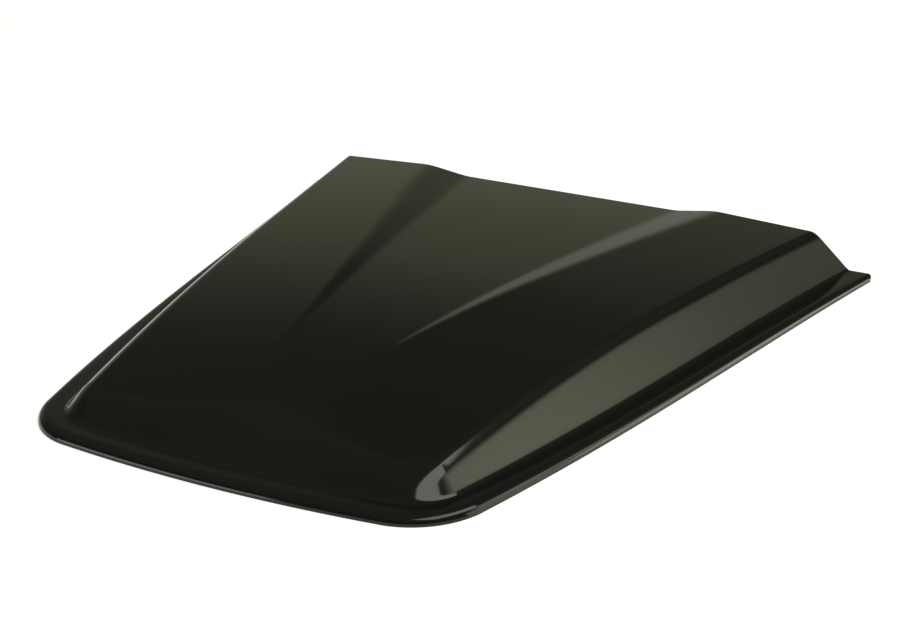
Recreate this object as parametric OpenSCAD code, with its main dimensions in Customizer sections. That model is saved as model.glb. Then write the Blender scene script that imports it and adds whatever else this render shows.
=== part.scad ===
// Car bonnet vent: one thin moulded shell that is low at the front and open at the rear.
// A flange with a rolled edge runs round the front and both sides and lies on the bonnet.
// Inside it a wall rises to a shoulder, and the top carries two shallow pods with a channel
// between them that starts near the middle and widens towards the open end.
// The front is -Y, the open end is +Y, and the rolled edge stands on Z = 0.

/* [Outline] */
// Width over the flanges at the open rear end
rear_width = 696; // [600:4:800]
// Width over the flanges at the front, measured before its corners are rounded
front_width = 444; // [400:1:520]
// Length over everything, from the middle of the front edge to the rear end
overall_length = 704; // [620:1:800]
// How far the middle of the front edge bows ahead of its ends
front_bow = 16; // [6:0.5:26]
// How far each side edge bows out from a straight line
side_bow = 7.5; // [0:0.5:12]
// How far that bow sits towards the front, where 0 is even
bow_lead = 1.05; // [0:0.05:1.2]
// Plan radius of the front corners
corner_radius = 78; // [66:1:90]
// Plan radius of the flange's rear tips
tip_radius = 6; // [4:1:12]

/* [Flange] */
// Height of the flange's top above the bonnet, round the front and along most of the sides
flange_height = 8.5; // [8:0.5:12]
// Height of the flange's top at its rear ends, where it comes down a little
rear_flange_height = 6.5; // [5.5:0.5:8]
// Width of the flange at the front, from its outer edge to the foot of the wall
flange_width = 26.5; // [20:0.5:34]
// Width of the flange at its rear ends
rear_flange_width = 27; // [20:0.5:34]
// Height of the upright rim, from which the edge is rolled up to the flange's top
rim_height = 1; // [0.5:0.25:1.5]
// Thickness of the moulded wall
wall_thickness = 3; // [2:0.5:3.5]

/* [Walls] */
// Slope of the side walls where they start at the front, in degrees from the level
side_slope = 47; // [42:1:58]
// Slope of the side walls at the rear end, in degrees from the level
rear_slope = 58.5; // [46:0.5:62]
// Slope of the front face above the flange, in degrees from the level
front_slope = 30; // [26:1:38]
// Height over which the flange turns up into the wall
foot_blend = 3; // [2:0.5:5]
// Height over which the side walls turn over into the top
shoulder_blend = 8.5; // [5:0.5:11]
// Height over which the front face turns over into the top
front_blend = 14; // [9:0.5:16]
// How far the open end leans forward, in degrees
rear_rake = 24; // [0:1:28]

/* [Top] */
// Height of the shoulders where they are highest
crest_height = 55.5; // [50:0.5:64]
// Distance of the highest point from the rear end
crest_from_rear = 276; // [220:1:340]
// Height of the shoulder line carried to the rear end
rear_height = 51; // [42:0.5:54]
// Height of the shoulder line carried to the ends of the front edge
front_height = 23.5; // [20:0.5:32]
// Rise of the top from the shoulders towards the middle, in degrees
crown_slope = 3.2; // [1:0.1:5]

/* [Channel] */
// Length of the channel, from the open end to where it starts
channel_length = 493; // [420:1:540]
// Width between the pods' ridges where the channel starts
channel_front_width = 105; // [80:1:140]
// Width between the pods' ridges at the open end
channel_rear_width = 367; // [300:1:400]
// Depth of the channel's floor below the ridges at the open end
channel_depth = 8.3; // [4:0.1:11]
// Slope of the channel's walls, in degrees from the level
channel_wall_slope = 9.5; // [8:0.5:14]
// Height over which the pods' ridges are rounded at the open end
ridge_blend = 2.2; // [1:0.1:3]
// Height over which the channel's wall meets its floor at the open end
valley_blend = 1.2; // [0.6:0.1:2]

/* [Hidden] */

// Stations along half of the outline, from the rear end to the middle of the front
side_steps = 13;
corner_steps = 9;
front_steps = 7;
last_station = side_steps + corner_steps + front_steps;

// Rings from the bottom of the rolled edge up to the centre line
edge_steps = 4;
foot_steps = 4;
wall_steps = 2;
shoulder_steps = 6;
pod_steps = 4;
ridge_steps = 7;
floor_steps = 3;
flange_ring = edge_steps + 2;
foot_ring = flange_ring + foot_steps;
wall_ring = foot_ring + wall_steps;
shoulder_ring = wall_ring + shoulder_steps;
pod_ring = shoulder_ring + pod_steps;
ridge_ring = pod_ring + ridge_steps;
last_ring = ridge_ring + floor_steps;

rear_y = overall_length / 2;
front_line_y = front_bow - overall_length / 2;
side_run = rear_y - front_line_y;
crest_y = rear_y - crest_from_rear;
channel_y = rear_y - channel_length;
crown_rise = tan(crown_slope);
channel_rise = tan(channel_wall_slope);
shoulder_inset = flange_width + (crest_height - flange_height) / tan(side_slope);

// Share of the change from the side wall to the front face that is made round the corner
corner_easing = 0.2;
// The channel's sides flare with this power of the distance from its start
channel_flare = 1.1;
// Share of the side's length, from the front, over which the flange keeps its height
flange_level = 0.55;
// Share of the ridge and valley rounding that is left where the channel starts
blend_left = 0.25;
// Growth of that share ahead of the channel's start, where the two pods run into one
front_softness = 2.5;
// Share of the length, from the rear, over which the rake and the tips draw the stations forward
draw_share = 0.36;
// Share of the length, from the rear, over which the stations cross to the centre line at right angles
square_share = 0.47;
// Distance from the front edge to the front end of the centre line's stations
spine_gap = 137;
// Share of the stations' pitch that the front end of the centre line keeps
spine_spread = 0.3;
// Margin on each side of the channel's wall that holds the rounding of its ridge and valley
ridge_margin = 11;
// Step used to measure the slope of the top
probe = 0.5;

function mix(a, b, share) = a + (b - a) * share;
function limit(value) = min(max(value, 0), 1);
function overlap(a, b, blend) = max(blend - abs(a - b), 0) / blend;
function soft_min(a, b, blend) = min(a, b) - blend / 4 * pow(overlap(a, b, blend), 2);
function soft_max(a, b, blend) = max(a, b) + blend / 4 * pow(overlap(a, b, blend), 2);

// Outline of the flange: a bowed side, a round corner and a bowed front
function side_share(y) = (y - front_line_y) / side_run;
function bow(share) = 4 * side_bow * share * (1 - share) * (1 + bow_lead * (1 - 2 * share));
function bow_turn(share) =
    4 * side_bow * ((1 - 2 * share) * (1 + bow_lead * (1 - 2 * share)) - 2 * bow_lead * share * (1 - share));
function side_x(y) = mix(front_width, rear_width, side_share(y)) / 2 + bow(side_share(y));
function side_angle(y) = atan(((rear_width - front_width) / 2 + bow_turn(side_share(y))) / side_run);
function front_y(x) = front_line_y - front_bow * (1 - pow(2 * x / front_width, 2));
function front_angle(x) = 90 - atan(8 * front_bow * x / pow(front_width, 2));
function outward(angle) = [cos(angle), -sin(angle)];
function rearward(angle) = [sin(angle), cos(angle)];

// Centre of the corner's arc, found by moving it until the arc touches the side and the front
function corner_centre(centre, turns) =
    turns == 0
    ? centre
    : let(touch_y = centre.y - corner_radius * sin(side_angle(centre.y)))
      let(touch_x = centre.x + corner_radius * cos(front_angle(centre.x)))
      let(new_x = side_x(touch_y) - corner_radius * cos(side_angle(touch_y)))
      let(new_y = front_y(touch_x) + corner_radius * sin(front_angle(touch_x)))
      corner_centre([new_x, new_y], turns - 1);
corner = corner_centre([front_width / 2 - corner_radius, front_line_y + corner_radius], 12);
corner_from = side_angle(corner.y - corner_radius * sin(side_angle(corner.y)));
corner_to = front_angle(corner.x + corner_radius * cos(front_angle(corner.x)));
corner_start_y = corner.y - corner_radius * sin(corner_from);
corner_end_x = corner.x + corner_radius * cos(corner_to);

// A station is its point on the outer edge and the direction that the edge faces there
function side_station(step) =
    let(y = mix(rear_y, corner_start_y, step / side_steps))
    [[side_x(y), y], side_angle(y)];
function corner_station(step) =
    let(angle = mix(corner_from, corner_to, step / corner_steps))
    [corner + corner_radius * outward(angle), angle];
function front_station(step) =
    let(x = corner_end_x * (1 - step / front_steps))
    [[x, front_y(x)], front_angle(x)];
stations = [
    for (step = [0:side_steps]) side_station(step),
    for (step = [1:corner_steps]) corner_station(step),
    for (step = [1:front_steps]) front_station(step),
];

// Height of the top without its walls: two pods and the channel between them
function shoulder_height(y) =
    y < crest_y
    ? mix(crest_height, front_height, pow((crest_y - y) / (crest_y - front_line_y), 2))
    : mix(crest_height, rear_height, pow((y - crest_y) / crest_from_rear, 2));
function pod_height(x, y) = shoulder_height(y) + crown_rise * (side_x(y) - shoulder_inset - abs(x));
function channel_share(y) = (y - channel_y) / channel_length;
function ridge_x(y) =
    mix(channel_front_width, channel_rear_width, pow(limit(channel_share(y)), channel_flare)) / 2;
function valley_x(y) = ridge_x(y) - channel_depth * limit(channel_share(y)) / channel_rise;
function channel_blend(y) =
    channel_share(y) < 0
    ? blend_left - front_softness * channel_share(y)
    : mix(blend_left, 1, limit(channel_share(y)));
function channel_height(x, y) =
    let(ridge = pod_height(ridge_x(y), y))
    let(wall = ridge - channel_rise * (ridge_x(y) - abs(x)))
    let(floor_z = ridge - channel_depth * channel_share(y))
    soft_max(wall, floor_z, valley_blend * channel_blend(y));
function top_height(x, y) =
    soft_min(pod_height(x, y), channel_height(x, y), ridge_blend * channel_blend(y));

// Height of the walls: they rise from the flange and turn over into the top. The slope eases
// from the sides to the middle of the front, partly round the corner and the rest along the front.
function ease(share) = pow(limit(share), 2) * (3 - 2 * limit(share));
function front_share(angle) =
    corner_easing * ease((angle - corner_from) / (corner_to - corner_from))
    + (1 - corner_easing) * ease((angle - corner_to) / (90 - corner_to));
function rear_share(station) = limit(side_share(station[0].y));
function flange_at(station) = mix(flange_width, rear_flange_width, rear_share(station));
function flange_top(station) =
    let(fall = limit((rear_share(station) - flange_level) / (1 - flange_level)))
    mix(flange_height, rear_flange_height, pow(fall, 2));
function wall_rise(station) =
    tan(mix(mix(side_slope, rear_slope, rear_share(station)), front_slope, front_share(station[1])));
function wall_blend(station) = mix(shoulder_blend, front_blend, front_share(station[1]));
function wall_height(inset, station) =
    flange_top(station) + (inset - flange_at(station)) * wall_rise(station);
function shell_height(inset, station, spot) =
    soft_min(
        soft_max(flange_top(station), wall_height(inset, station), foot_blend),
        top_height(spot.x, spot.y),
        wall_blend(station));

// Plan place at a distance in from the outer edge. At the rear end it is reached straight
// across, and towards the corner at right angles to the edge.
function across(station) =
    let(square = limit((station[0].y - corner_start_y) / (rear_y - corner_start_y)))
    let(slant = square > 0 ? square * tan(station[1]) : 0)
    -outward(station[1]) - slant * rearward(station[1]);
function plan_place(station, inset) = station[0] + inset * across(station);

// Distance in from the edge at which the wall stands a given height above the top's surface
function inset_at(station, above, turns, guess) =
    turns == 0
    ? guess
    : let(spot = plan_place(station, guess))
      let(wanted = top_height(spot.x, spot.y) + above - flange_top(station))
      inset_at(station, above, turns - 1, flange_at(station) + wanted / wall_rise(station));

// Where each station meets the centre line
function pitch(index) = norm(stations[index][0] - stations[index - 1][0]);
function walked(index) = index == 0 ? 0 : walked(index - 1) + pitch(index);
full_walk = walked(last_station);
square_walk = square_share * overall_length;
spine_run = overall_length - spine_gap - square_walk;
spine_power = ((full_walk - square_walk) / spine_run - spine_spread) / (1 - spine_spread);
function spine_y(index) =
    let(walk = walked(index))
    let(share = limit((walk - square_walk) / (full_walk - square_walk)))
    let(bent = 1 - pow(1 - share, spine_power))
    rear_y - min(walk, square_walk) - spine_run * mix(bent, share, spine_spread);

// Each ring's distance in from the edge, from the rolled edge to the top of the shoulder
function edge_lean(ring) = 90 * limit((ring - 1) / edge_steps);
function edge_radius(station) = flange_top(station) - rim_height;
function low_inset(station, ring) =
    let(rise = wall_rise(station))
    let(foot_start = flange_at(station) - foot_blend / rise)
    let(foot_end = flange_at(station) + foot_blend / rise)
    let(blend = wall_blend(station))
    let(turn_start = inset_at(station, -blend, 6, flange_width))
    let(turn_end = inset_at(station, blend, 6, flange_width))
    ring < flange_ring ? edge_radius(station) * (1 - cos(edge_lean(ring)))
    : ring <= foot_ring ? mix(foot_start, foot_end, (ring - flange_ring) / foot_steps)
    : ring <= wall_ring ? mix(foot_end, turn_start, (ring - foot_ring) / wall_steps)
    : mix(turn_start, turn_end, (ring - wall_ring) / shoulder_steps);

// Each ring's share of the way from the shoulder to the centre line
function top_share(half_width, y, ring) =
    let(ridge_from = 1 - (ridge_x(y) + ridge_margin) / half_width)
    let(valley_to = 1 - (valley_x(y) - ridge_margin) / half_width)
    ring <= pod_ring ? ridge_from * (ring - shoulder_ring) / pod_steps
    : ring <= ridge_ring ? mix(ridge_from, valley_to, (ring - pod_ring) / ridge_steps)
    : mix(valley_to, 1, (ring - ridge_ring) / floor_steps);

// How far a ring's rear end is drawn forward, by the round tips and by the rake
function tip_draw(inset) =
    inset >= tip_radius ? 0 : tip_radius - sqrt(pow(tip_radius, 2) - pow(tip_radius - inset, 2));
function rake_draw(inset) =
    let(spot = plan_place(stations[0], inset))
    tan(rear_rake) * max(shell_height(inset, stations[0], spot) - rear_flange_height, 0);
function draw_weight(y) = pow(limit(1 - (rear_y - y) / (draw_share * overall_length)), 2);

function low_point(index, ring) =
    let(station = stations[index])
    let(angle = station[1])
    let(inset = low_inset(station, ring))
    let(end_inset = low_inset(stations[0], ring))
    let(end_draw = tip_draw(end_inset) + rake_draw(end_inset))
    let(weight = draw_weight(station[0].y))
    let(draw = weight > 0 ? end_draw * weight / cos(angle) : 0)
    let(spot = plan_place(station, inset) - draw * rearward(angle))
    let(edge_z = ring == 0 ? 0 : rim_height + edge_radius(station) * sin(edge_lean(ring)))
    [spot.x, spot.y, ring < flange_ring ? edge_z : shell_height(inset, station, spot)];

// The top's rings follow the channel as far forward as it goes, and keep its front width after it
front_half = side_x(channel_y) - shoulder_inset;
function top_point(index, ring, start) =
    let(station = stations[index])
    let(y = station[0].y)
    let(half_width = y > channel_y ? side_x(y) - shoulder_inset : front_half)
    let(share = top_share(half_width, y, ring))
    let(rear_z = top_height(start.x * (1 - share), rear_y))
    let(drawn = tan(rear_rake) * (rear_z - rear_flange_height) * draw_weight(y))
    let(level_y = start.y + low_draw(index))
    let(spot = [start.x * (1 - share), mix(level_y, spine_y(index), share) - drawn])
    [spot.x, spot.y, top_height(spot.x, spot.y)];
function low_draw(index) =
    rake_draw(low_inset(stations[0], shoulder_ring)) * draw_weight(stations[index][0].y);

half_grid = [
    for (index = [0:last_station])
        let(low = [for (ring = [0:shoulder_ring]) low_point(index, ring)])
        concat(low, [for (ring = [shoulder_ring + 1:last_ring]) top_point(index, ring, low[shoulder_ring])])
];

// Direction that the outer skin faces: worked out on the rolled edge and the flange, taken from
// the neighbouring points above them, and from the top's slopes on the centre line
function unit(vector) = vector / norm(vector);
function edge_facing(index, ring) =
    let(way = outward(stations[index][1]))
    let(lean = edge_lean(ring))
    [way.x * cos(lean), way.y * cos(lean), sin(lean)];
function wall_facing(index, ring) =
    let(before = half_grid[max(index - 1, 0)][ring])
    let(after = index == last_station ? [-before.x, before.y, before.z] : half_grid[index + 1][ring])
    unit(cross(half_grid[index][ring + 1] - half_grid[index][ring - 1], after - before));
function top_facing(spot) =
    let(slope_x = top_height(spot.x + probe, spot.y) - top_height(spot.x - probe, spot.y))
    let(slope_y = top_height(spot.x, spot.y + probe) - top_height(spot.x, spot.y - probe))
    unit([-slope_x, -slope_y, 2 * probe]);
function facing(index, ring) =
    ring <= flange_ring ? edge_facing(index, ring)
    : ring < last_ring ? wall_facing(index, ring)
    : top_facing(half_grid[index][ring]);

// The inner skin lies one wall thickness behind the outer skin
half_inner = [
    for (index = [0:last_station]) [
        for (ring = [0:last_ring])
            half_grid[index][ring] - wall_thickness * facing(index, ring)
    ]
];

// Both halves: columns run from the right rear end round the front to the left rear end
last_column = 2 * last_station;
columns = last_column + 1;
rings = last_ring + 1;
function mirrored(point) = [-point.x, point.y, point.z];
function column_points(grid, column) =
    column <= last_station
    ? grid[column]
    : [for (point = grid[last_column - column]) mirrored(point)];
outer_points = [for (column = [0:last_column]) each column_points(half_grid, column)];
inner_points = [for (column = [0:last_column]) each column_points(half_inner, column)];

// Both halves share the points of the last ring, which lies on the centre line
function spot_number(column, ring) =
    (ring == last_ring && column > last_station ? last_column - column : column) * rings + ring;
function outer_number(column, ring) = spot_number(column, ring);
function inner_number(column, ring) = columns * rings + spot_number(column, ring);

// A four-sided patch as two triangles, split the same way on both halves
function patch(a, b, c, d, on_right) = on_right ? [[a, b, c], [a, c, d]] : [[b, c, d], [b, d, a]];
skin_faces = [
    for (column = [0:last_column - 1], ring = [0:last_ring - 1])
        let(on_right = column < last_station)
        each concat(
            patch(
                outer_number(column, ring), outer_number(column + 1, ring),
                outer_number(column + 1, ring + 1), outer_number(column, ring + 1), on_right),
            patch(
                inner_number(column, ring + 1), inner_number(column + 1, ring + 1),
                inner_number(column + 1, ring), inner_number(column, ring), !on_right))
];
rim_faces = [
    for (column = [0:last_column - 1])
        each patch(
            outer_number(column, 0), inner_number(column, 0),
            inner_number(column + 1, 0), outer_number(column + 1, 0), column < last_station)
];
rear_faces = [
    for (ring = [0:last_ring - 1])
        each concat(
            patch(
                outer_number(0, ring), outer_number(0, ring + 1),
                inner_number(0, ring + 1), inner_number(0, ring), true),
            patch(
                outer_number(last_column, ring + 1), outer_number(last_column, ring),
                inner_number(last_column, ring), inner_number(last_column, ring + 1), true))
];

module vent_shell() {
    color([0.11, 0.11, 0.09])
        polyhedron(
            points = concat(outer_points, inner_points),
            faces = concat(skin_faces, rim_faces, rear_faces),
            convexity = 6);
}

vent_shell();
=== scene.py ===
import math

import bmesh
import bpy
import numpy as np
from mathutils import Matrix


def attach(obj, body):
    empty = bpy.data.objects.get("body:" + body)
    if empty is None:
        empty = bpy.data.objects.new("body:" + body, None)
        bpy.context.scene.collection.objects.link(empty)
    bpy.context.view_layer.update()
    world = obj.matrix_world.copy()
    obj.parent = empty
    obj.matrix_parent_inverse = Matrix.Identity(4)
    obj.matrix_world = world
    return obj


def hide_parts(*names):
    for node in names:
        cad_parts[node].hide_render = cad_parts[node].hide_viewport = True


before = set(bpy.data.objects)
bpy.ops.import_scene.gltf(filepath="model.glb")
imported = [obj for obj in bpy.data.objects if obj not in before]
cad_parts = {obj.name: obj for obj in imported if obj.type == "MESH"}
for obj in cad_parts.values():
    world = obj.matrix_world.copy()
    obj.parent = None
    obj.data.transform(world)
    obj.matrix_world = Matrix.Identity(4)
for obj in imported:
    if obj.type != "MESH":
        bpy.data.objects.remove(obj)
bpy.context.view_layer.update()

# Sizes of the part, in metres, with the names and values of its source
# Outline
OVERALL_LENGTH = 0.704
REAR_WIDTH = 0.696
FRONT_WIDTH = 0.444
FRONT_BOW = 0.016
SIDE_BOW = 0.0075
BOW_LEAD = 1.05
CORNER_RADIUS = 0.078
TIP_RADIUS = 0.006

# Flange
FLANGE_HEIGHT = 0.0085
REAR_FLANGE_HEIGHT = 0.0065
FLANGE_LEVEL = 0.55
FLANGE_WIDTH = 0.0265
REAR_FLANGE_WIDTH = 0.027
RIM_HEIGHT = 0.001
WALL_THICKNESS = 0.003

# Walls
SIDE_SLOPE = math.radians(47)
REAR_SLOPE = math.radians(58.5)
FRONT_SLOPE = math.radians(30)
FOOT_BLEND = 0.003
SHOULDER_BLEND = 0.0085
FRONT_BLEND = 0.014
REAR_RAKE = math.radians(24)

# Top
CREST_HEIGHT = 0.0555
CREST_FROM_REAR = 0.276
REAR_HEIGHT = 0.051
FRONT_HEIGHT = 0.0235
CROWN_RISE = math.tan(math.radians(3.2))

# Channel
CHANNEL_LENGTH = 0.493
CHANNEL_FRONT_WIDTH = 0.105
CHANNEL_REAR_WIDTH = 0.367
CHANNEL_DEPTH = 0.0083
CHANNEL_RISE = math.tan(math.radians(9.5))
RIDGE_BLEND = 0.0022
VALLEY_BLEND = 0.0012
CHANNEL_FLARE = 1.1
BLEND_LEFT = 0.25
FRONT_SOFTNESS = 2.5

# How the stations run from the edge to the centre line
CORNER_EASING = 0.2
DRAW_SHARE = 0.36
SQUARE_SHARE = 0.47
SPINE_GAP = 0.137
SPINE_SPREAD = 0.3
RIDGE_MARGIN = 0.011

# Steps of the fine mesh, along half of the outline and from the edge up to the centre line
SIDE_STEPS = 96
CORNER_STEPS = 34
FRONT_STEPS = 40
EDGE_STEPS = 8
FLANGE_STEPS = 3
FOOT_STEPS = 8
WALL_STEPS = 8
SHOULDER_STEPS = 16
POD_STEPS = 22
RIDGE_STEPS = 24
FLOOR_STEPS = 14

# Rounds of the searches for the corner's centre and for the walls' upper ends
CORNER_ROUNDS = 12
WALL_ROUNDS = 6
SHARP_ANGLE = math.radians(40)

REAR_Y = OVERALL_LENGTH / 2
FRONT_LINE_Y = FRONT_BOW - OVERALL_LENGTH / 2
SIDE_RUN = REAR_Y - FRONT_LINE_Y
CREST_Y = REAR_Y - CREST_FROM_REAR
CHANNEL_Y = REAR_Y - CHANNEL_LENGTH
SHOULDER_INSET = FLANGE_WIDTH + (CREST_HEIGHT - FLANGE_HEIGHT) / math.tan(SIDE_SLOPE)


def mix(a, b, share):
    return a + (b - a) * share


def limit(value):
    return np.clip(value, 0.0, 1.0)


def ease(share):
    return limit(share) ** 2 * (3 - 2 * limit(share))


def soft_min(a, b, blend):
    return np.minimum(a, b) - blend / 4 * (np.maximum(blend - np.abs(a - b), 0) / blend) ** 2


def soft_max(a, b, blend):
    return np.maximum(a, b) + blend / 4 * (np.maximum(blend - np.abs(a - b), 0) / blend) ** 2


# Outline of the flange: a bowed side, a round corner and a bowed front
def side_share(y):
    return (y - FRONT_LINE_Y) / SIDE_RUN


def side_x(y):
    share = side_share(y)
    bow = 4 * SIDE_BOW * share * (1 - share) * (1 + BOW_LEAD * (1 - 2 * share))
    return mix(FRONT_WIDTH, REAR_WIDTH, share) / 2 + bow


def side_angle(y):
    share = side_share(y)
    turn = (1 - 2 * share) * (1 + BOW_LEAD * (1 - 2 * share)) - 2 * BOW_LEAD * share * (1 - share)
    return np.arctan(((REAR_WIDTH - FRONT_WIDTH) / 2 + 4 * SIDE_BOW * turn) / SIDE_RUN)


def front_y(x):
    return FRONT_LINE_Y - FRONT_BOW * (1 - (2 * x / FRONT_WIDTH) ** 2)


def front_angle(x):
    return math.pi / 2 - np.arctan(8 * FRONT_BOW * x / FRONT_WIDTH ** 2)


def corner_centre():
    """Centre of the corner's arc, moved until the arc touches the side and the front."""
    x = FRONT_WIDTH / 2 - CORNER_RADIUS
    y = FRONT_LINE_Y + CORNER_RADIUS
    for _ in range(CORNER_ROUNDS):
        touch_y = y - CORNER_RADIUS * math.sin(side_angle(y))
        touch_x = x + CORNER_RADIUS * math.cos(front_angle(x))
        x, y = (
            side_x(touch_y) - CORNER_RADIUS * math.cos(side_angle(touch_y)),
            front_y(touch_x) + CORNER_RADIUS * math.sin(front_angle(touch_x)),
        )
    return x, y


CORNER_X, CORNER_Y = corner_centre()
CORNER_FROM = float(side_angle(CORNER_Y - CORNER_RADIUS * math.sin(side_angle(CORNER_Y))))
CORNER_TO = float(front_angle(CORNER_X + CORNER_RADIUS * math.cos(front_angle(CORNER_X))))
CORNER_START_Y = CORNER_Y - CORNER_RADIUS * math.sin(CORNER_FROM)
CORNER_END_X = CORNER_X + CORNER_RADIUS * math.cos(CORNER_TO)


def stations():
    """Half of the outline, from the rear end to the middle of the front.

    Gives x, y and the angle that the edge faces.
    """
    side_y = np.linspace(REAR_Y, CORNER_START_Y, SIDE_STEPS + 1)
    turn = np.linspace(CORNER_FROM, CORNER_TO, CORNER_STEPS + 1)[1:]
    front_x = np.linspace(CORNER_END_X, 0, FRONT_STEPS + 1)[1:]
    x = np.concatenate([side_x(side_y), CORNER_X + CORNER_RADIUS * np.cos(turn), front_x])
    y = np.concatenate([side_y, CORNER_Y - CORNER_RADIUS * np.sin(turn), front_y(front_x)])
    angle = np.concatenate([side_angle(side_y), turn, front_angle(front_x)])
    return x, y, angle


# Height of the top without its walls: two pods and the channel between them
def shoulder_height(y):
    ahead_share = (CREST_Y - y) / (CREST_Y - FRONT_LINE_Y)
    behind_share = (y - CREST_Y) / CREST_FROM_REAR
    before = mix(CREST_HEIGHT, FRONT_HEIGHT, ahead_share ** 2)
    behind = mix(CREST_HEIGHT, REAR_HEIGHT, behind_share ** 2)
    return np.where(y < CREST_Y, before, behind)


def pod_height(x, y):
    return shoulder_height(y) + CROWN_RISE * (side_x(y) - SHOULDER_INSET - np.abs(x))


def channel_share(y):
    return (y - CHANNEL_Y) / CHANNEL_LENGTH


def ridge_x(y):
    flare = limit(channel_share(y)) ** CHANNEL_FLARE
    return mix(CHANNEL_FRONT_WIDTH, CHANNEL_REAR_WIDTH, flare) / 2


def valley_x(y):
    return ridge_x(y) - CHANNEL_DEPTH * limit(channel_share(y)) / CHANNEL_RISE


def channel_blend(y):
    share = channel_share(y)
    ahead = BLEND_LEFT - FRONT_SOFTNESS * share
    return np.where(share < 0, ahead, mix(BLEND_LEFT, 1, limit(share)))


def top_height(x, y):
    pod = pod_height(x, y)
    ridge = pod_height(ridge_x(y), y)
    wall = ridge - CHANNEL_RISE * (ridge_x(y) - np.abs(x))
    floor = ridge - CHANNEL_DEPTH * channel_share(y)
    channel = soft_max(wall, floor, VALLEY_BLEND * channel_blend(y))
    return soft_min(pod, channel, RIDGE_BLEND * channel_blend(y))


# Height of the walls: they rise from the flange and turn over into the top
def front_share(angle):
    corner = ease((angle - CORNER_FROM) / (CORNER_TO - CORNER_FROM))
    front = ease((angle - CORNER_TO) / (math.pi / 2 - CORNER_TO))
    return CORNER_EASING * corner + (1 - CORNER_EASING) * front


def flange_at(edge_y):
    return mix(FLANGE_WIDTH, REAR_FLANGE_WIDTH, limit(side_share(edge_y)))


def flange_top(edge_y):
    fall = limit((side_share(edge_y) - FLANGE_LEVEL) / (1 - FLANGE_LEVEL))
    return mix(FLANGE_HEIGHT, REAR_FLANGE_HEIGHT, fall ** 2)


def wall_rise(angle, edge_y):
    side = mix(SIDE_SLOPE, REAR_SLOPE, limit(side_share(edge_y)))
    return np.tan(mix(side, FRONT_SLOPE, front_share(angle)))


def wall_blend(angle):
    return mix(SHOULDER_BLEND, FRONT_BLEND, front_share(angle))


def shell_height(inset, angle, edge_y, x, y):
    wall = flange_top(edge_y) + (inset - flange_at(edge_y)) * wall_rise(angle, edge_y)
    side = soft_max(flange_top(edge_y), wall, FOOT_BLEND)
    return soft_min(side, top_height(x, y), wall_blend(angle))


class Stations:
    """Half of the outline with what every ring needs of it."""

    def __init__(self):
        self.x, self.y, self.angle = stations()
        square = limit((self.y - CORNER_START_Y) / (REAR_Y - CORNER_START_Y))
        slant = np.zeros_like(square)
        on_side = square > 0
        slant[on_side] = square[on_side] * np.tan(self.angle[on_side])
        self.across_x = -np.cos(self.angle) - slant * np.sin(self.angle)
        self.across_y = np.sin(self.angle) - slant * np.cos(self.angle)
        steps = np.hypot(np.diff(self.x), np.diff(self.y))
        walked = np.concatenate([[0], np.cumsum(steps)])
        square_walk = SQUARE_SHARE * OVERALL_LENGTH
        spine_run = OVERALL_LENGTH - SPINE_GAP - square_walk
        power = ((walked[-1] - square_walk) / spine_run - SPINE_SPREAD) / (1 - SPINE_SPREAD)
        share = limit((walked - square_walk) / (walked[-1] - square_walk))
        bent = 1 - (1 - share) ** power
        spine_walk = np.minimum(walked, square_walk) + spine_run * mix(bent, share, SPINE_SPREAD)
        self.spine_y = REAR_Y - spine_walk
        self.weight = limit(1 - (REAR_Y - self.y) / (DRAW_SHARE * OVERALL_LENGTH)) ** 2
        self.turn_start = self.inset_at(-wall_blend(self.angle))
        self.turn_end = self.inset_at(wall_blend(self.angle))

    def place(self, inset):
        return self.x + inset * self.across_x, self.y + inset * self.across_y

    def inset_at(self, above):
        """Distance in from the edge at which the wall stands this far above the top."""
        inset = np.full_like(self.x, FLANGE_WIDTH)
        for _ in range(WALL_ROUNDS):
            x, y = self.place(inset)
            wanted = top_height(x, y) + above - flange_top(self.y)
            inset = flange_at(self.y) + wanted / wall_rise(self.angle, self.y)
        return inset

    def rear_draw(self, inset):
        """How far a ring's rear end is drawn forward, by the round tips and by the rake."""
        tip = TIP_RADIUS - math.sqrt(TIP_RADIUS ** 2 - max(TIP_RADIUS - inset, 0) ** 2)
        x = self.x[0] + inset * self.across_x[0]
        y = self.y[0] + inset * self.across_y[0]
        height = float(shell_height(inset, self.angle[0], self.y[0], x, y))
        return tip + math.tan(REAR_RAKE) * max(height - REAR_FLANGE_HEIGHT, 0)


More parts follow.
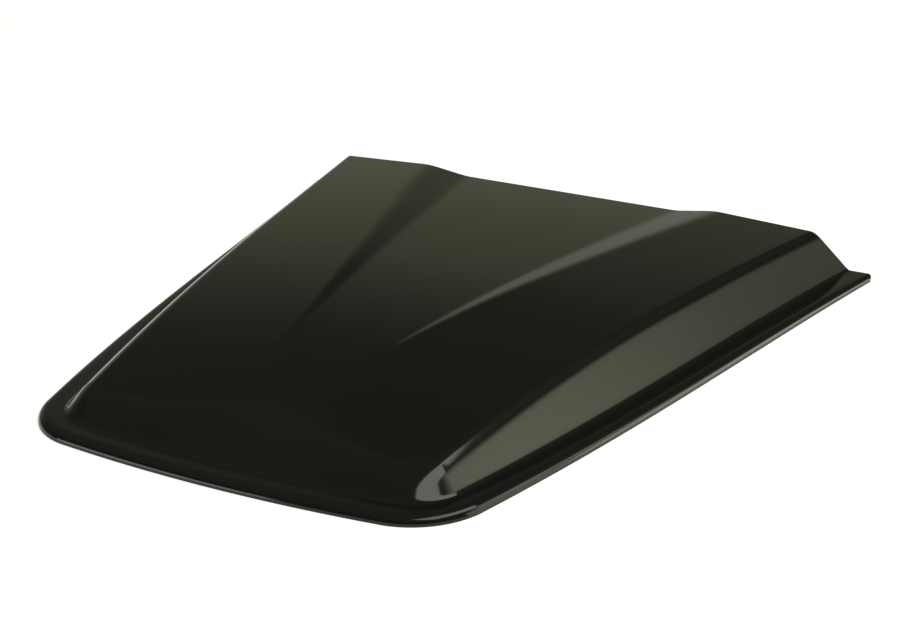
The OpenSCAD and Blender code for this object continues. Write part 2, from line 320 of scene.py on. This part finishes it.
def half_skin(line):
    """Outer skin of the right half, as stations by rings, and the direction that it faces."""
    rise = wall_rise(line.angle, line.y)
    foot_start = flange_at(line.y) - FOOT_BLEND / rise
    foot_end = flange_at(line.y) + FOOT_BLEND / rise
    lean = np.concatenate([[0], np.linspace(0, math.pi / 2, EDGE_STEPS + 1)])
    edge_radius = flange_top(line.y) - RIM_HEIGHT
    low = [(edge_radius * (1 - np.cos(turn)), turn) for turn in lean]
    zones = (
        (edge_radius, foot_start, FLANGE_STEPS),
        (foot_start, foot_end, FOOT_STEPS),
        (foot_end, line.turn_start, WALL_STEPS),
        (line.turn_start, line.turn_end, SHOULDER_STEPS),
    )
    for start, end, steps in zones:
        low += [(mix(start, end, step / steps), None) for step in range(1, steps + 1)]
    points = []
    for ring, (inset, turn) in enumerate(low):
        x, y = line.place(inset)
        square = np.cos(line.angle * (line.weight > 0))
        draw = line.rear_draw(float(inset[0])) * line.weight / square
        x = x - draw * np.sin(line.angle)
        y = y - draw * np.cos(line.angle)
        if ring == 0:
            z = 0 * x
        elif turn is not None:
            z = RIM_HEIGHT + edge_radius * math.sin(turn)
        else:
            z = shell_height(inset, line.angle, line.y, x, y)
        points.append(np.stack([x, y, z], axis=-1))
    start_x, start_y = points[-1][:, 0], points[-1][:, 1]
    half_width = np.where(line.y > CHANNEL_Y, side_x(line.y), side_x(CHANNEL_Y)) - SHOULDER_INSET
    ridge_from = 1 - (ridge_x(line.y) + RIDGE_MARGIN) / half_width
    valley_to = 1 - (valley_x(line.y) - RIDGE_MARGIN) / half_width
    shares = [mix(0, ridge_from, step / POD_STEPS) for step in range(1, POD_STEPS + 1)]
    for step in range(1, RIDGE_STEPS + 1):
        shares.append(mix(ridge_from, valley_to, step / RIDGE_STEPS))
    for step in range(1, FLOOR_STEPS + 1):
        shares.append(mix(valley_to, 1.0, step / FLOOR_STEPS))
    low_draw = line.rear_draw(float(line.turn_end[0])) * line.weight
    for share in shares:
        x = start_x * (1 - share)
        rear_top = top_height(x, np.full_like(x, REAR_Y))
        drawn = math.tan(REAR_RAKE) * (rear_top - REAR_FLANGE_HEIGHT) * line.weight
        y = mix(start_y + low_draw, line.spine_y, share) - drawn
        points.append(np.stack([x, y, top_height(x, y)], axis=-1))
    skin = np.stack(points, axis=1)
    return skin, facing(line, skin, lean)


def facing(line, skin, lean):
    """Unit directions of the outer skin: worked out on the edge and flange, measured above."""
    mirror = np.array([-1, 1, 1])
    along = np.empty_like(skin)
    along[1:-1] = skin[2:] - skin[:-2]
    along[0] = skin[1] - skin[0]
    along[-1] = skin[-2] * mirror - skin[-2]
    along[-1, -1] = along[-2, -1]
    up = np.empty_like(skin)
    up[:, 1:-1] = skin[:, 2:] - skin[:, :-2]
    up[:, 0] = skin[:, 1] - skin[:, 0]
    up[:, -1] = skin[:, -2] * mirror - skin[:, -2]
    way = np.cross(up, along)
    way[:, -1, 0] = 0
    flat_rings = len(lean) + FLANGE_STEPS
    for ring in range(flat_rings):
        turn = lean[min(ring, len(lean) - 1)]
        way[:, ring, 0] = np.cos(line.angle) * math.cos(turn)
        way[:, ring, 1] = -np.sin(line.angle) * math.cos(turn)
        way[:, ring, 2] = math.sin(turn)
    return way / np.linalg.norm(way, axis=-1, keepdims=True)


def both_halves(half):
    """The right half and its mirror image as one grid, from the right rear end to the left one."""
    left = half[-2::-1] * np.array([-1, 1, 1])
    return np.concatenate([half, left], axis=0)


def grid_faces(numbers, outward):
    """Four-sided faces of a grid of vertex numbers."""
    a, b = numbers[:-1, :-1].ravel(), numbers[1:, :-1].ravel()
    c, d = numbers[1:, 1:].ravel(), numbers[:-1, 1:].ravel()
    faces = np.stack([a, d, c, b] if outward else [a, b, c, d], axis=-1)
    return faces.tolist()


def build_shell():
    """One closed thin shell: outer and inner skin, joined along the edge and the open rear end."""
    line = Stations()
    outer_half, way = half_skin(line)
    outer = both_halves(outer_half)
    inner = both_halves(outer_half - WALL_THICKNESS * way)
    columns, rings = outer.shape[:2]
    numbers = np.arange(columns * rings).reshape(columns, rings)
    middle = columns // 2
    numbers[middle + 1:, -1] = numbers[:middle, -1][::-1]
    inner_numbers = numbers + columns * rings
    faces = grid_faces(numbers, False) + grid_faces(inner_numbers, True)
    for column in range(columns - 1):
        faces.append([int(numbers[column + 1, 0]), int(numbers[column, 0]),
                      int(inner_numbers[column, 0]), int(inner_numbers[column + 1, 0])])
    for ring in range(rings - 1):
        faces.append([int(numbers[0, ring]), int(numbers[0, ring + 1]),
                      int(inner_numbers[0, ring + 1]), int(inner_numbers[0, ring])])
        faces.append([int(numbers[-1, ring + 1]), int(numbers[-1, ring]),
                      int(inner_numbers[-1, ring]), int(inner_numbers[-1, ring + 1])])
    points = np.concatenate([outer.reshape(-1, 3), inner.reshape(-1, 3)])
    mesh = bpy.data.meshes.new("vent_shell_smooth")
    mesh.from_pydata(points.tolist(), [], faces)
    mesh.validate()
    shell = bpy.data.objects.new("vent_shell_smooth", mesh)
    bpy.context.collection.objects.link(shell)
    drop_loose(mesh)
    mesh.shade_smooth()
    mesh.set_sharp_from_angle(angle=SHARP_ANGLE)
    return shell


def drop_loose(mesh):
    """Takes out the mirrored centre points that no face uses."""
    work = bmesh.new()
    work.from_mesh(mesh)
    loose = [vertex for vertex in work.verts if not vertex.link_faces]
    bmesh.ops.delete(work, geom=loose, context="VERTS")
    bmesh.ops.recalc_face_normals(work, faces=work.faces)
    work.to_mesh(mesh)
    work.free()


def new_material(name):
    material = bpy.data.materials.new(name)
    material.use_nodes = True
    return material, material.node_tree.nodes, material.node_tree.links


# Plastic: a near black with an olive cast, and the range over which its haze and tint drift
PLASTIC_IOR = 1.5
TINT_DARK = (0.0048, 0.0051, 0.0037, 1)
TINT_LIGHT = (0.0058, 0.0061, 0.0045, 1)
ROUGHNESS_RANGE = (0.08, 0.11)
DRIFT_RANGE = (0.3, 0.7)
DRIFT_SCALE = 7.0
DRIFT_DETAIL = 5.0


def gloss_plastic():
    """Gloss black plastic with a faint olive cast and a light haze, both a little uneven."""
    material, nodes, links = new_material("gloss_black_plastic")
    shader = nodes["Principled BSDF"]
    shader.inputs["IOR"].default_value = PLASTIC_IOR
    place = nodes.new("ShaderNodeTexCoord")
    cloud = nodes.new("ShaderNodeTexNoise")
    cloud.inputs["Scale"].default_value = DRIFT_SCALE
    cloud.inputs["Detail"].default_value = DRIFT_DETAIL
    tint = nodes.new("ShaderNodeValToRGB")
    stops = tint.color_ramp.elements
    stops[0].position, stops[1].position = DRIFT_RANGE
    stops[0].color = TINT_DARK
    stops[1].color = TINT_LIGHT
    haze = nodes.new("ShaderNodeMapRange")
    haze.inputs["From Min"].default_value, haze.inputs["From Max"].default_value = DRIFT_RANGE
    haze.inputs["To Min"].default_value, haze.inputs["To Max"].default_value = ROUGHNESS_RANGE
    links.new(place.outputs["Object"], cloud.inputs["Vector"])
    links.new(cloud.outputs["Fac"], tint.inputs["Fac"])
    links.new(cloud.outputs["Fac"], haze.inputs["Value"])
    links.new(tint.outputs["Color"], shader.inputs["Base Color"])
    links.new(haze.outputs["Result"], shader.inputs["Roughness"])
    return material


def scaled(nodes, links, source, factor):
    """Output of a node that multiplies the source by a factor."""
    node = nodes.new("ShaderNodeMath")
    node.operation = "MULTIPLY"
    node.inputs[1].default_value = factor
    links.new(source, node.inputs[0])
    return node.outputs["Value"]


def ramp_of(nodes, links, source, steps):
    """Output of a colour ramp with the given (position, colour) steps."""
    node = nodes.new("ShaderNodeValToRGB")
    stops = node.color_ramp.elements
    while len(stops) < len(steps):
        stops.new(0.5)
    for stop, (position, color) in zip(stops, steps):
        stop.position = position
        stop.color = (*color, 1)
    links.new(source, node.inputs["Fac"])
    return node.outputs["Color"]


def smooth_map(nodes, links, source, read, given):
    """Output that goes smoothly from one given value to the other over the range that is read."""
    node = nodes.new("ShaderNodeMapRange")
    node.interpolation_type = "SMOOTHSTEP"
    node.inputs["From Min"].default_value, node.inputs["From Max"].default_value = read
    node.inputs["To Min"].default_value, node.inputs["To Max"].default_value = given
    links.new(source, node.inputs["Value"])
    return node.outputs["Result"]


def mixed(nodes, links, share, first, second):
    """Output that goes from the first colour to the second, each an output or a plain colour."""
    node = nodes.new("ShaderNodeMix")
    node.data_type = "RGBA"
    links.new(share, node.inputs[0])
    for socket, color in ((node.inputs[6], first), (node.inputs[7], second)):
        if isinstance(color, tuple):
            socket.default_value = (*color, 1)
        else:
            links.new(color, socket)
    return node.outputs[2]


# Floor: a glow of 1 would be white by itself, and the lamps and the world light it as well
FLOOR_SIZE = 40.0
FLOOR_COLOR = (0.5, 0.5, 0.5, 1)
FLOOR_ROUGHNESS = 0.2
FLOOR_IOR = 1.5
FLOOR_GLOW_SEEN = 0.68
FLOOR_GLOW_REFLECTED = 0.5


def build_floor():
    """A plain pale floor that glows for direct looks and for reflections."""
    half = FLOOR_SIZE / 2
    mesh = bpy.data.meshes.new("floor")
    corners = [(-half, -half, 0), (half, -half, 0), (half, half, 0), (-half, half, 0)]
    mesh.from_pydata(corners, [], [(0, 1, 2, 3)])
    floor = bpy.data.objects.new("floor", mesh)
    bpy.context.collection.objects.link(floor)
    material, nodes, links = new_material("floor_white")
    shader = nodes["Principled BSDF"]
    shader.inputs["Base Color"].default_value = FLOOR_COLOR
    shader.inputs["Roughness"].default_value = FLOOR_ROUGHNESS
    shader.inputs["IOR"].default_value = FLOOR_IOR
    shader.inputs["Emission Color"].default_value = (1, 1, 1, 1)
    path = nodes.new("ShaderNodeLightPath")
    seen = scaled(nodes, links, path.outputs["Is Camera Ray"], FLOOR_GLOW_SEEN)
    reflected = scaled(nodes, links, path.outputs["Is Glossy Ray"], FLOOR_GLOW_REFLECTED)
    glow = nodes.new("ShaderNodeMath")
    glow.operation = "ADD"
    links.new(seen, glow.inputs[0])
    links.new(reflected, glow.inputs[1])
    links.new(glow.outputs["Value"], shader.inputs["Emission Strength"])
    mesh.materials.append(material)


# What the plastic reflects of the room, by the sine of the height above the horizon: a low pale
# backdrop behind the object, and a dark room with a faint ceiling on its other sides
BACK_STEPS = (
    (0.00, (0.34, 0.35, 0.29)),
    (0.12, (0.33, 0.34, 0.28)),
    (0.20, (0.35, 0.36, 0.28)),
    (0.24, (0.31, 0.33, 0.23)),
    (0.28, (0.25, 0.265, 0.17)),
    (0.34, (0.205, 0.217, 0.145)),
    (0.39, (0.165, 0.173, 0.125)),
    (0.43, (0.12, 0.126, 0.094)),
    (0.48, (0.085, 0.089, 0.068)),
    (0.74, (0.07, 0.073, 0.056)),
)
ROOM_STEPS = (
    (0.00, (0.10, 0.104, 0.082)),
    (0.48, (0.09, 0.094, 0.072)),
    (0.64, (0.15, 0.156, 0.12)),
)

# Direction of the backdrop's middle, and the cosines from it at which it starts and is full
BACK_MIDDLE = (-0.342, 0.940, 0.0)
BACK_EDGE = 0.45
BACK_FULL = 0.80
WORLD_LEVEL = (0.55, 0.55, 0.55)


def build_world():
    """White for the camera, the room in reflections, and an even soft light for the rest."""
    world = bpy.data.worlds.new("studio")
    bpy.context.scene.world = world
    world.use_nodes = True
    nodes, links = world.node_tree.nodes, world.node_tree.links
    background = nodes["Background"]
    place = nodes.new("ShaderNodeTexCoord")
    parts = nodes.new("ShaderNodeSeparateXYZ")
    links.new(place.outputs["Generated"], parts.inputs["Vector"])
    back = ramp_of(nodes, links, parts.outputs["Z"], BACK_STEPS)
    room = ramp_of(nodes, links, parts.outputs["Z"], ROOM_STEPS)
    toward = nodes.new("ShaderNodeVectorMath")
    toward.operation = "DOT_PRODUCT"
    toward.inputs[1].default_value = BACK_MIDDLE
    links.new(place.outputs["Generated"], toward.inputs[0])
    share = smooth_map(nodes, links, toward.outputs["Value"], (BACK_EDGE, BACK_FULL), (0.0, 1.0))
    around = mixed(nodes, links, share, room, back)
    path = nodes.new("ShaderNodeLightPath")
    lit = mixed(nodes, links, path.outputs["Is Diffuse Ray"], around, WORLD_LEVEL)
    seen = mixed(nodes, links, path.outputs["Is Camera Ray"], lit, (1.0, 1.0, 1.0))
    links.new(seen, background.inputs["Color"])


# Lamps round the object: azimuth from +Y towards +X, elevation, roll, width and height as seen
# from the object, all in degrees, then radiance and colour
LAMP_DISTANCE = 3.0
SIDE_SOFTBOX = (59.2, 29.8, 34, 24.6, 68.4, 1.93, (1.06, 1.12, 0.8))
CORNER_SOFTBOX = (77, 13.5, 0, 30, 26, 1.5, (1.0, 1.05, 0.75))
LOW_SOFTBOX = (53.5, 6, 0, 17, 11, 4.2, (1.0, 0.84, 0.68))
FRONT_SOFTBOX = (-141, 4.5, 0, 32, 8, 3.0, (0.97, 1.0, 0.97))

# The lamp overhead: width and depth in metres, radiance and colour, and its place
CEILING_SOFTBOX = (1.52, 3.15, 2.65, (1.0, 1.0, 0.93))
CEILING_PLACE = (1.45, -0.175, 2.6)


def area_lamp(name, width, height, radiance, color):
    """A rectangular lamp with an even radiance, which the camera doesn't see."""
    data = bpy.data.lights.new(name, "AREA")
    data.shape = "RECTANGLE"
    data.size = width
    data.size_y = height
    data.energy = radiance * math.pi * width * height
    data.color = color
    lamp = bpy.data.objects.new(name, data)
    bpy.context.collection.objects.link(lamp)
    lamp.visible_camera = False
    return lamp


def aimed_lamp(name, azimuth, elevation, roll, width, height, radiance, color):
    """A lamp at an azimuth and elevation that faces the object, turned about its own axis."""
    wide = 2 * LAMP_DISTANCE * math.tan(math.radians(width / 2))
    high = 2 * LAMP_DISTANCE * math.tan(math.radians(height / 2))
    lamp = area_lamp(name, wide, high, radiance, color)
    turn = (
        Matrix.Rotation(math.radians(180 - azimuth), 4, "Z")
        @ Matrix.Rotation(math.radians(90 - elevation), 4, "X")
        @ Matrix.Rotation(math.radians(roll), 4, "Z")
    )
    lamp.matrix_world = turn @ Matrix.Translation((0, 0, LAMP_DISTANCE))
    return lamp


def fade_out(lamp):
    """Lets a lamp's strength fall smoothly from its middle to nothing at its edges."""
    lamp.data.use_nodes = True
    nodes, links = lamp.data.node_tree.nodes, lamp.data.node_tree.links
    place = nodes.new("ShaderNodeNewGeometry")
    offset = nodes.new("ShaderNodeVectorMath")
    offset.operation = "SUBTRACT"
    offset.inputs[1].default_value = (0.5, 0.5, 0.0)
    reach = nodes.new("ShaderNodeVectorMath")
    reach.operation = "LENGTH"
    links.new(place.outputs["Parametric"], offset.inputs[0])
    links.new(offset.outputs["Vector"], reach.inputs[0])
    strength = smooth_map(nodes, links, reach.outputs["Value"], (0.0, 0.5), (1.0, 0.0))
    links.new(strength, nodes["Emission"].inputs["Strength"])


def build_lamps():
    fade_out(aimed_lamp("side_softbox", *SIDE_SOFTBOX))
    aimed_lamp("corner_softbox", *CORNER_SOFTBOX)
    aimed_lamp("low_softbox", *LOW_SOFTBOX)
    aimed_lamp("front_softbox", *FRONT_SOFTBOX)
    ceiling = area_lamp("ceiling_softbox", *CEILING_SOFTBOX)
    ceiling.location = CEILING_PLACE


# The camera, from its target on the floor, its direction and its distance
TARGET = (0.00764, 0.07564, 0.0012)
VIEW_AZIMUTH = math.radians(30.38)
VIEW_ELEVATION = math.radians(22.88)
VIEW_ROLL = math.radians(-1.63)
VIEW_DISTANCE = 2.269
IMAGE_WIDTH = 920
FOCAL_PIXELS = 2226.7
SENSOR_WIDTH = 36.0
CLIP_END = 200.0


def build_camera():
    """A camera at the photo's place, with the photo's slight roll."""
    flat = math.cos(VIEW_ELEVATION)
    back = np.array([
        math.sin(VIEW_AZIMUTH) * flat,
        -math.cos(VIEW_AZIMUTH) * flat,
        math.sin(VIEW_ELEVATION),
    ])
    right = np.array([math.cos(VIEW_AZIMUTH), math.sin(VIEW_AZIMUTH), 0])
    up = np.cross(back, right)
    turned_right = math.cos(VIEW_ROLL) * right + math.sin(VIEW_ROLL) * up
    turned_up = -math.sin(VIEW_ROLL) * right + math.cos(VIEW_ROLL) * up
    data = bpy.data.cameras.new("camera")
    data.sensor_width = SENSOR_WIDTH
    data.lens = SENSOR_WIDTH * FOCAL_PIXELS / IMAGE_WIDTH
    data.clip_end = CLIP_END
    camera = bpy.data.objects.new("camera", data)
    bpy.context.collection.objects.link(camera)
    turn = np.eye(4)
    turn[:3, 0], turn[:3, 1], turn[:3, 2] = turned_right, turned_up, back
    turn[:3, 3] = np.array(TARGET) + VIEW_DISTANCE * back
    camera.matrix_world = Matrix(turn.tolist())
    bpy.context.scene.camera = camera


bpy.context.scene.view_settings.view_transform = "Standard"
shell = build_shell()
shell.data.materials.append(gloss_plastic())
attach(shell, "root")
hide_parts("vent_shell")
build_floor()
build_world()
build_lamps()
build_camera()
